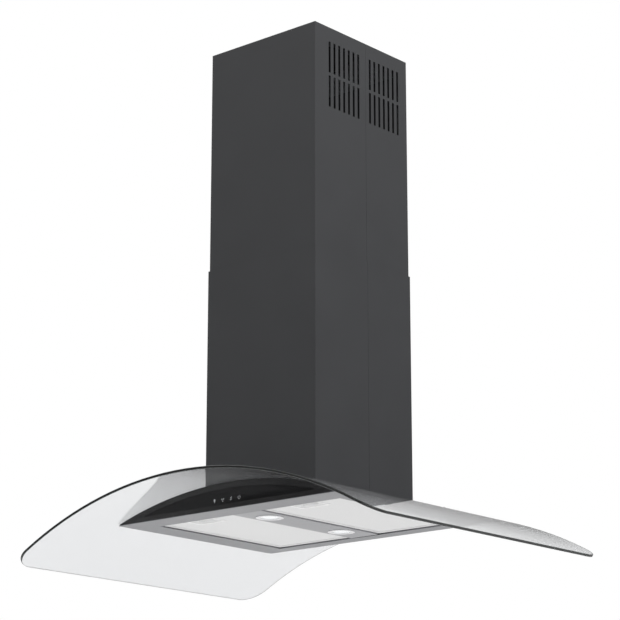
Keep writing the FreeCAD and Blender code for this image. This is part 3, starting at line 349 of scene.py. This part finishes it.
def galvanised(name, tone, *, rough, crystals=130):
    """Zinc-coated sheet with spangle and a little dust."""
    made, tree, shader, place = new_material(name)
    skin = add_node(
        tree, "ShaderNodeGroup", {"Vector": place, "Crystals per metre": crystals},
        node_tree=shared_group("Zinc spangle", build_spangle),
    ).outputs
    tint_between(tree, shader, skin["Tone"], shade(tone, 0.84), shade(tone, 1.12))
    rough_between(tree, shader, skin["Dust"], *rough)
    tree.links.new(skin["Normal"], shader.inputs["Normal"])
    set_shader(shader, metallic=0.9)
    return made


def rim_mask(tree, place, lowest, highest, corner, band):
    """1 in a thin band along the outline of a round-cornered sheet, seen from above, else 0."""
    any_height = 10.0
    inner = (highest - lowest) / 2 - Vector((corner, corner, 0))
    centred = add_vector_math(tree, "SUBTRACT", place, tuple((lowest + highest) / 2))
    far = add_vector_math(tree, "ABSOLUTE", centred)
    past = add_vector_math(tree, "SUBTRACT", far, (inner.x, inner.y, any_height))
    outward = add_vector_math(tree, "MAXIMUM", past, (0, 0, 0))
    out = add_node(tree, "ShaderNodeVectorMath", {0: outward}, operation="LENGTH")
    return add_node(
        tree, "ShaderNodeMath", {0: out.outputs["Value"], 1: corner - band},
        operation="GREATER_THAN",
    ).outputs[0]


def bent_glass(tone, edge):
    """Clear toughened glass: darker along the sheet, near black on the polished edge."""
    made, tree, shader, place = new_material("bent_glass")
    rim = rim_mask(tree, place, *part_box("glass_canopy"), GLASS_CORNER, GLASS_LINE)
    inside = add_node(tree, "ShaderNodeNewGeometry").outputs["Backfacing"]
    line = add_node(
        tree, "ShaderNodeMath", {0: rim, 1: inside}, operation="SUBTRACT", use_clamp=True
    )
    # A look that nearly follows the sheet goes a long way through the glass, which darkens it.
    slant = add_node(tree, "ShaderNodeLayerWeight", {"Blend": 0.5}).outputs["Facing"]
    long_way = add_node(
        tree, "ShaderNodeMapRange", {"Value": slant, "From Min": 0.78, "From Max": 0.92}
    )
    sheet = blend(tree, long_way.outputs["Result"], shade(tone, 1), shade(tone, 0.6))
    tint_between(tree, shader, line.outputs[0], sheet, shade(edge, 1))
    film = add_noise(tree, place, scale=5, detail=3, roughness=0.5)
    rough_between(tree, shader, film, 0, 0.02)
    set_shader(shader, transmission_weight=0.9, ior=1.52)
    return made


def lamp_glass(name, centre, tones):
    """Frosted lens of an LED lamp, lit from behind, with rings of small prisms."""
    made, tree, shader, place = new_material(name)
    middle = add_node(tree, "ShaderNodeMapping", {"Vector": place, "Location": tuple(-centre)})
    rings = add_node(
        tree, "ShaderNodeTexWave", {"Vector": middle.outputs["Vector"], "Scale": 110},
        wave_type="RINGS", rings_direction="Z",
    ).outputs["Fac"]
    facets = add_node(
        tree, "ShaderNodeTexVoronoi", {"Vector": place, "Scale": 260, "Randomness": 0.4}
    ).outputs["Distance"]
    glow = blend(tree, facets, shade(tones.glow_dark, 1), shade(tones.glow_pale, 1))
    tree.links.new(glow, shader.inputs["Emission Color"])
    tint_between(tree, shader, rings, shade(tones.lens_dark, 1), shade(tones.lens_pale, 1))
    raised = add_bump(tree, facets, depth=0.0004, strength=0.8)
    tree.links.new(raised, shader.inputs["Normal"])
    rough_between(tree, shader, rings, 0.10, 0.28)
    set_shader(shader, emission_strength=0.2, ior=1.49)
    return made


def dress(material, *names):
    """Gives each named CAD node this one material."""
    for name in names:
        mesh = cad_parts[name].data
        mesh.materials.clear()
        mesh.materials.append(material)


# New pieces ----------------------------------------------------------------


def add_piece(name, bm, material):
    """Makes an object of a finished bmesh and gives it its material."""
    mesh = bpy.data.meshes.new(name)
    bm.to_mesh(mesh)
    bm.free()
    mesh.materials.append(material)
    piece = bpy.data.objects.new(name, mesh)
    bpy.context.scene.collection.objects.link(piece)
    return piece


def lay_stroke(x, z, width, height, turn):
    """Where a stroke lies in the panel's plane, in symbol heights."""
    size = Matrix.Diagonal((width, height, 1, 1))
    return Matrix.Translation((x, z, 0)) @ Matrix.Rotation(turn, 4, "Z") @ size


def add_spot(bm, x, z, width, height, turn=0.0, sides=20):
    """A filled round or long spot."""
    place = lay_stroke(x, z, width, height, turn)
    bmesh.ops.create_circle(bm, cap_ends=True, segments=sides, radius=0.5, matrix=place)


def add_bar(bm, x, z, width, height, turn=0.0):
    """A straight stroke."""
    place = lay_stroke(x, z, width, height, turn)
    bmesh.ops.create_grid(bm, x_segments=1, y_segments=1, size=0.5, matrix=place)


def draw_lamp(bm):
    """A bulb over its cap."""
    add_spot(bm, 0, 0.14, 0.52, 0.62)
    add_bar(bm, 0, -0.27, 0.26, 0.09)
    add_bar(bm, 0, -0.42, 0.18, 0.09)


def draw_fan(bm):
    """Three blades round a hub."""
    for blade in range(3):
        turn = blade * 2 * pi / 3
        arm = Matrix.Rotation(turn, 3, "Z") @ Vector((0, -0.33, 0))
        add_spot(bm, arm.x, arm.y, 0.24, 0.40, turn + 0.35)
    add_spot(bm, 0, 0, 0.14, 0.14, sides=12)


def draw_boost(bm):
    """Three slanted strokes of moving air."""
    add_bar(bm, 0.02, 0.30, 0.62, 0.10, 0.5)
    add_bar(bm, 0.06, 0.04, 0.56, 0.10, 0.5)
    add_bar(bm, 0.02, -0.24, 0.62, 0.10, 0.35)


def draw_power(bm):
    """An open ring and a stroke."""
    for step in range(14):
        turn = radians(140 + step * 20)
        arm = Matrix.Rotation(turn, 3, "Z") @ Vector((0.38, 0, 0))
        add_bar(bm, arm.x, arm.y, 0.11, 0.134, turn)
    add_bar(bm, 0, 0.32, 0.11, 0.36)


def print_symbol(name, draw, x, sizes, face, ink):
    """Turns a flat drawing into thin ink on the panel's front face."""
    bm = bmesh.new()
    draw(bm)
    bmesh.ops.remove_doubles(bm, verts=bm.verts, dist=0.002)
    grown = bmesh.ops.extrude_face_region(bm, geom=bm.faces[:])
    raised = [part for part in grown["geom"] if isinstance(part, bmesh.types.BMVert)]
    bmesh.ops.translate(bm, verts=raised, vec=(0, 0, sizes.ink / sizes.height))
    stand = Matrix.Translation((x, face, sizes.level)) @ Matrix.Rotation(pi / 2, 4, "X")
    bmesh.ops.transform(bm, verts=bm.verts, matrix=stand @ Matrix.Scale(sizes.height, 4))
    bmesh.ops.recalc_face_normals(bm, faces=bm.faces)
    symbol = add_piece(name, bm, ink)
    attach(symbol, "hood")


# Operators -----------------------------------------------------------------


class HOOD_OT_covers(bpy.types.Operator):
    """Satin powder coat on the upper and lower chimney covers"""

    bl_idname = "hood.covers"
    bl_label = "Chimney covers"

    def execute(self, context):
        tones = context.scene.hood_finishes
        coat = grained(
            "chimney_coat", tones.cover_coat,
            rough=(0.38, 0.44), grain=1100, depth=0.00003, wear=0.04,
        )
        dress(coat, "upper_cover_front", "upper_cover_rear", "lower_cover_front", "lower_cover_rear")
        return {"FINISHED"}


class HOOD_OT_canopy(bpy.types.Operator):
    """Bent glass, its seals and its capped screws"""

    bl_idname = "hood.canopy"
    bl_label = "Glass canopy"

    def execute(self, context):
        tones = context.scene.hood_finishes
        dress(bent_glass(tones.glass_tint, tones.glass_edge), "glass_canopy")
        rubber = grained(
            "seal_rubber", tones.seal_rubber, rough=(0.62, 0.78), grain=700, depth=0.00005
        )
        dress(rubber, "glass_gasket", "front_seal", "rear_seal")
        caps = brushed(
            "screw_caps", tones.screw_cap, rough=(0.10, 0.2), lines=2200, depth=0.000004
        )
        dress(caps, "glass_fixings")
        return {"FINISHED"}


class HOOD_OT_body(bpy.types.Operator):
    """Gloss paint on the crescent fascias, zinc coat on the body's top sheet"""

    bl_idname = "hood.body"
    bl_label = "Body and fascias"

    def execute(self, context):
        tones = context.scene.hood_finishes
        paint = grained(
            "fascia_paint", tones.fascia_paint,
            rough=(0.20, 0.30), grain=420, depth=0.00001, clouds=6,
            specular_ior_level=0.32, coat_weight=0.1, coat_roughness=0.12,
        )
        dress(paint, "front_fascia", "rear_fascia")
        # The top sheet takes the same zinc colour, darkened as painted shade.
        sheet = galvanised("body_sheet_zinc", tones.zinc, rough=(0.34, 0.48))
        dress(sheet, "top_housing")
        return {"FINISHED"}


class HOOD_OT_controls(bpy.types.Operator):
    """Gloss touch panel, its board and the four printed symbols"""

    bl_idname = "hood.controls"
    bl_label = "Touch controls"

    def execute(self, context):
        tones = context.scene.hood_finishes
        sizes = context.scene.hood_touch
        panel = grained(
            "panel_gloss", tones.panel_gloss,
            rough=(0.08, 0.15), grain=300, depth=0.000004, clouds=14, specular_ior_level=0.2,
        )
        dress(panel, "control_panel")
        board = grained(
            "board_lacquer", tones.board_lacquer,
            rough=(0.3, 0.42), grain=500, depth=0.00003, clouds=60,
        )
        dress(board, "control_board")
        ink = grained(
            "symbol_ink", tones.symbol_ink,
            rough=(0.4, 0.5), grain=2500, depth=0.00001, clouds=200,
        )
        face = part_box("control_panel")[0].y
        drawings = {"lamp": draw_lamp, "fan": draw_fan, "boost": draw_boost, "power": draw_power}
        first = -sizes.pitch * (len(drawings) - 1) / 2
        for index, (name, draw) in enumerate(drawings.items()):
            print_symbol("symbol_" + name, draw, first + index * sizes.pitch, sizes, face, ink)
        return {"FINISHED"}


class HOOD_OT_underside(bpy.types.Operator):
    """Brushed steel rim and lamp strip; the rim's steel is painted darker than the strip's, as
    painted shade
    """

    bl_idname = "hood.underside"
    bl_label = "Steel underside"

    def execute(self, context):
        tones = context.scene.hood_finishes
        # The rim's darker steel colour is painted shade; the strip keeps the lighter colour of the
        # same finish.
        dress(brushed("rim_steel", tones.steel, rough=(0.30, 0.40)), "underside_rim")
        strip = brushed("strip_steel", tones.strip, rough=(0.28, 0.38), turn=(0, 0, pi / 2))
        dress(strip, "light_strip")
        return {"FINISHED"}


class HOOD_OT_lamps(bpy.types.Operator):
    """Lamp bezels, lit lenses and lamp cans"""

    bl_idname = "hood.lamps"
    bl_label = "Lamps"

    def execute(self, context):
        tones = context.scene.hood_finishes
        chrome = brushed(
            "lamp_chrome", tones.lamp_chrome, rough=(0.12, 0.2), lines=2000, depth=0.000003
        )
        cast = grained(
            "lamp_can_cast", tones.lamp_can,
            rough=(0.38, 0.5), grain=600, depth=0.00008, metallic=1.0,
        )
        for end in ("front", "rear"):
            dress(chrome, "lamp_bezel_" + end)
            lowest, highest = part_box("lamp_lens_" + end)
            lens = lamp_glass("lamp_glass_" + end, (lowest + highest) / 2, tones)
            dress(lens, "lamp_lens_" + end)
            dress(cast, "lamp_can_" + end)
        return {"FINISHED"}


class HOOD_OT_filters(bpy.types.Operator):
    """Pale grease filters with their mesh packs, finger cups, latches and pins"""

    bl_idname = "hood.filters"
    bl_label = "Grease filters"

    def execute(self, context):
        tones = context.scene.hood_finishes
        face = grained(
            "filter_satin", tones.aluminium,
            rough=(0.42, 0.52), grain=1800, depth=0.00001, clouds=5, wear=0.03, metallic=0.35,
        )
        dress(face, "filter_frame_left", "filter_frame_right")
        # The cups' paler, non-metallic colour is painted light against the shade in the recesses.
        cup = grained(
            "cup_satin", tones.finger_cup_painted_light,
            rough=(0.42, 0.52), grain=1800, depth=0.00001, clouds=5, wear=0.03,
        )
        dress(cup, "filter_cup_left", "filter_cup_right")
        mesh = brushed(
            "filter_mesh", tones.aluminium,
            rough=(0.4, 0.55), lines=700, stretch=0.6, depth=0.0004,
        )
        dress(mesh, "filter_mesh_left", "filter_mesh_right")
        latch = grained(
            "latch_satin", tones.aluminium,
            rough=(0.34, 0.44), grain=1500, depth=0.00001, clouds=30, metallic=0.35,
        )
        dress(latch, "filter_latch_left", "filter_latch_right")
        pins = brushed("pin_steel", tones.pin_steel, rough=(0.2, 0.3))
        dress(pins, "hinge_pins_left", "hinge_pins_right")
        return {"FINISHED"}


class HOOD_OT_hanging_frame(bpy.types.Operator):
    """Zinc-coated ceiling plate, posts, base frame and bolts"""

    bl_idname = "hood.hanging_frame"
    bl_label = "Hanging frame"

    def execute(self, context):
        tones = context.scene.hood_finishes
        posts = [
            level + "_post_" + end + "_" + side
            for level in ("upper", "lower") for end in ("front", "rear") for side in ("left", "right")
        ]
        # Zinc darkened as painted shade, so the frame stays dark behind the vents.
        zinc = galvanised("frame_zinc", tones.zinc, rough=(0.32, 0.48))
        dress(zinc, "ceiling_plate", "upper_brace", "base_frame", *posts)
        bolts = brushed("bolt_zinc", tones.bolt_zinc, rough=(0.24, 0.34), lines=1800)
        dress(bolts, "frame_bolts")
        return {"FINISHED"}


class HOOD_OT_blower(bpy.types.Operator):
    """Blower housing, rails, wheel, motor and control box"""

    bl_idname = "hood.blower"
    bl_label = "Blower"

    def execute(self, context):
        tones = context.scene.hood_finishes
        # Zinc darkened as painted shade, so the blower stays dark behind the vents.
        scroll = galvanised("scroll_zinc", tones.zinc, rough=(0.28, 0.42), crystals=170)
        dress(
            scroll, "scroll_wrap", "scroll_side_left", "scroll_side_right",
            "blower_rail_front", "blower_rail_rear", "motor_bracket",
        )
        moulded = grained(
            "wheel_moulding", tones.moulding, rough=(0.42, 0.55), grain=1300, depth=0.00002
        )
        dress(moulded, "impeller", "impeller_disc", "control_box")
        motor = grained(
            "motor_paint", tones.motor_paint, rough=(0.35, 0.45), grain=800, depth=0.00004
        )
        dress(motor, "motor")
        shaft = brushed("shaft_steel", tones.shaft_steel, rough=(0.16, 0.26), depth=0.000006)
        dress(shaft, "motor_shaft")
        return {"FINISHED"}


class HOOD_OT_outlet(bpy.types.Operator):
    """Moulded outlet, collar and damper flaps on their pin"""

    bl_idname = "hood.outlet"
    bl_label = "Outlet and damper"

    def execute(self, context):
        tones = context.scene.hood_finishes
        moulded = grained(
            "duct_moulding", tones.moulding, rough=(0.45, 0.58), grain=1000, depth=0.00003
        )
        dress(
            moulded, "outlet_transition", "outlet_collar", "damper_flap_left", "damper_flap_right"
        )
        pin = brushed("damper_pin_steel", tones.shaft_steel, rough=(0.2, 0.3))
        dress(pin, "damper_pin")
        return {"FINISHED"}


class HOOD_OT_stage(bpy.types.Operator):
    """Pale floor, a dark disc of painted shade over the duct hole, soft studio light and the camera
    """

    bl_idname = "hood.stage"
    bl_label = "Studio"

    def execute(self, context):
        settings = context.scene.hood_stage
        self.add_floor(settings)
        self.shade_duct(settings)
        self.add_sky(context, settings)
        self.add_lights(context, settings)
        self.add_camera(context, settings)
        return {"FINISHED"}

    def add_floor(self, settings):
        """A wide pale floor far below the hood."""
        bm = bmesh.new()
        bmesh.ops.create_grid(
            bm, x_segments=2, y_segments=2, size=settings.floor_half,
            matrix=Matrix.Translation((0, 0, settings.floor_level)),
        )
        paint = grained(
            "floor_paint", settings.floor_colour,
            rough=(0.55, 0.65), grain=120, depth=0.0001, clouds=1.5, wear=0.01,
        )
        floor = add_piece("studio_floor", bm, paint)

    def shade_duct(self, settings):
        """A dark disc over the plate's duct hole: painted shade for the dark inside of a house's
        duct, which lets in no light.
        """
        lowest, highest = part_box("outlet_collar")
        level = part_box("ceiling_plate")[1].z + settings.duct_lift
        bm = bmesh.new()
        bmesh.ops.create_circle(
            bm, cap_ends=True, segments=96,
            radius=(highest.x - lowest.x) / 2 + settings.duct_lap,
            matrix=Matrix.Translation((0, 0, level)),
        )
        dark = grained(
            "duct_dark", settings.duct_dark, rough=(0.8, 0.9), grain=60, depth=0.0004
        )
        end = add_piece("studio_duct_end", bm, dark)

    def add_sky(self, context, settings):
        """Soft light that grows with height, behind a plain white that the camera sees."""
        world = bpy.data.worlds.new("soft_studio")
        context.scene.world = world
        context.scene.view_settings.view_transform = "Standard"
        world.use_nodes = True
        tree = world.node_tree
        way = add_node(tree, "ShaderNodeTexCoord").outputs["Generated"]
        height = add_node(tree, "ShaderNodeSeparateXYZ", {"Vector": way}).outputs["Z"]
        lit = add_node(
            tree, "ShaderNodeMapRange",
            {
                "Value": height, "From Min": 0.25, "From Max": 0.75,
                "To Min": settings.sky_low, "To Max": settings.sky_high,
            },
            interpolation_type="SMOOTHSTEP",
        )
        path = add_node(tree, "ShaderNodeLightPath").outputs
        seen = add_node(
            tree, "ShaderNodeMath", {0: path["Is Camera Ray"], 1: path["Is Transmission Ray"]},
            operation="MAXIMUM",
        )
        # In a number Mix node, input 0 is the factor, and 2 and 3 are the two numbers.
        strength = add_node(
            tree, "ShaderNodeMix",
            {0: seen.outputs[0], 2: lit.outputs["Result"], 3: settings.backdrop},
        )
        background = tree.nodes["Background"].inputs
        tree.links.new(strength.outputs[0], background["Strength"])
        background["Color"].default_value = (1, 1, 1, 1)

    def add_lights(self, context, settings):
        """A large square light on the right and a weak one at the front left."""
        for name in ("side", "front"):
            place = getattr(settings, name + "_place")
            light = bpy.data.lights.new(name + "_light", "AREA")
            light.size = getattr(settings, name + "_size")
            light.energy = getattr(settings, name + "_power")
            stand = bpy.data.objects.new(name + "_light", light)
            stand.location = place
            aim = settings.light_aim - place
            stand.rotation_euler = aim.to_track_quat("-Z", "Y").to_euler()
            context.scene.collection.objects.link(stand)

    def add_camera(self, context, settings):
        """A camera fitted to the photograph's view of the hood."""
        camera = bpy.data.objects.new("photo_camera", bpy.data.cameras.new("photo_camera"))
        camera.location = settings.camera_place
        camera.rotation_euler = settings.camera_turn
        camera.data.lens = settings.lens
        camera.data.sensor_width = settings.sensor
        camera.data.clip_end = settings.sight
        context.scene.collection.objects.link(camera)
        context.scene.camera = camera


class HOOD_PT_parts(bpy.types.Panel):
    """Lists the steps that finish the hood"""

    bl_idname = "HOOD_PT_parts"
    bl_label = "Range hood"
    bl_space_type = "VIEW_3D"
    bl_region_type = "UI"
    bl_category = "Range hood"

    def draw(self, context):
        scene = context.scene
        for step in STEPS:
            self.layout.operator(step.bl_idname)
        for group in (scene.hood_finishes, scene.hood_touch, scene.hood_stage):
            box = self.layout.box()
            for name in group.__annotations__:
                box.prop(group, name)


STEPS = (
    HOOD_OT_covers,
    HOOD_OT_canopy,
    HOOD_OT_body,
    HOOD_OT_controls,
    HOOD_OT_underside,
    HOOD_OT_lamps,
    HOOD_OT_filters,
    HOOD_OT_hanging_frame,
    HOOD_OT_blower,
    HOOD_OT_outlet,
    HOOD_OT_stage,
)
CLASSES = (HoodFinishes, TouchSizes, StageSettings, *STEPS, HOOD_PT_parts)


def register():
    """Adds the classes and their settings to Blender."""
    for made in CLASSES:
        bpy.utils.register_class(made)
    bpy.types.Scene.hood_finishes = PointerProperty(type=HoodFinishes)
    bpy.types.Scene.hood_touch = PointerProperty(type=TouchSizes)
    bpy.types.Scene.hood_stage = PointerProperty(type=StageSettings)


def unregister():
    """Takes the classes and their settings out again."""
    del bpy.types.Scene.hood_finishes
    del bpy.types.Scene.hood_touch
    del bpy.types.Scene.hood_stage
    for made in reversed(CLASSES):
        bpy.utils.unregister_class(made)


def main():
    """Runs every step in order."""
    register()
    for step in STEPS:
        group, name = step.bl_idname.split(".")
        getattr(getattr(bpy.ops, group), name)()


if __name__ == "__main__":
    main()
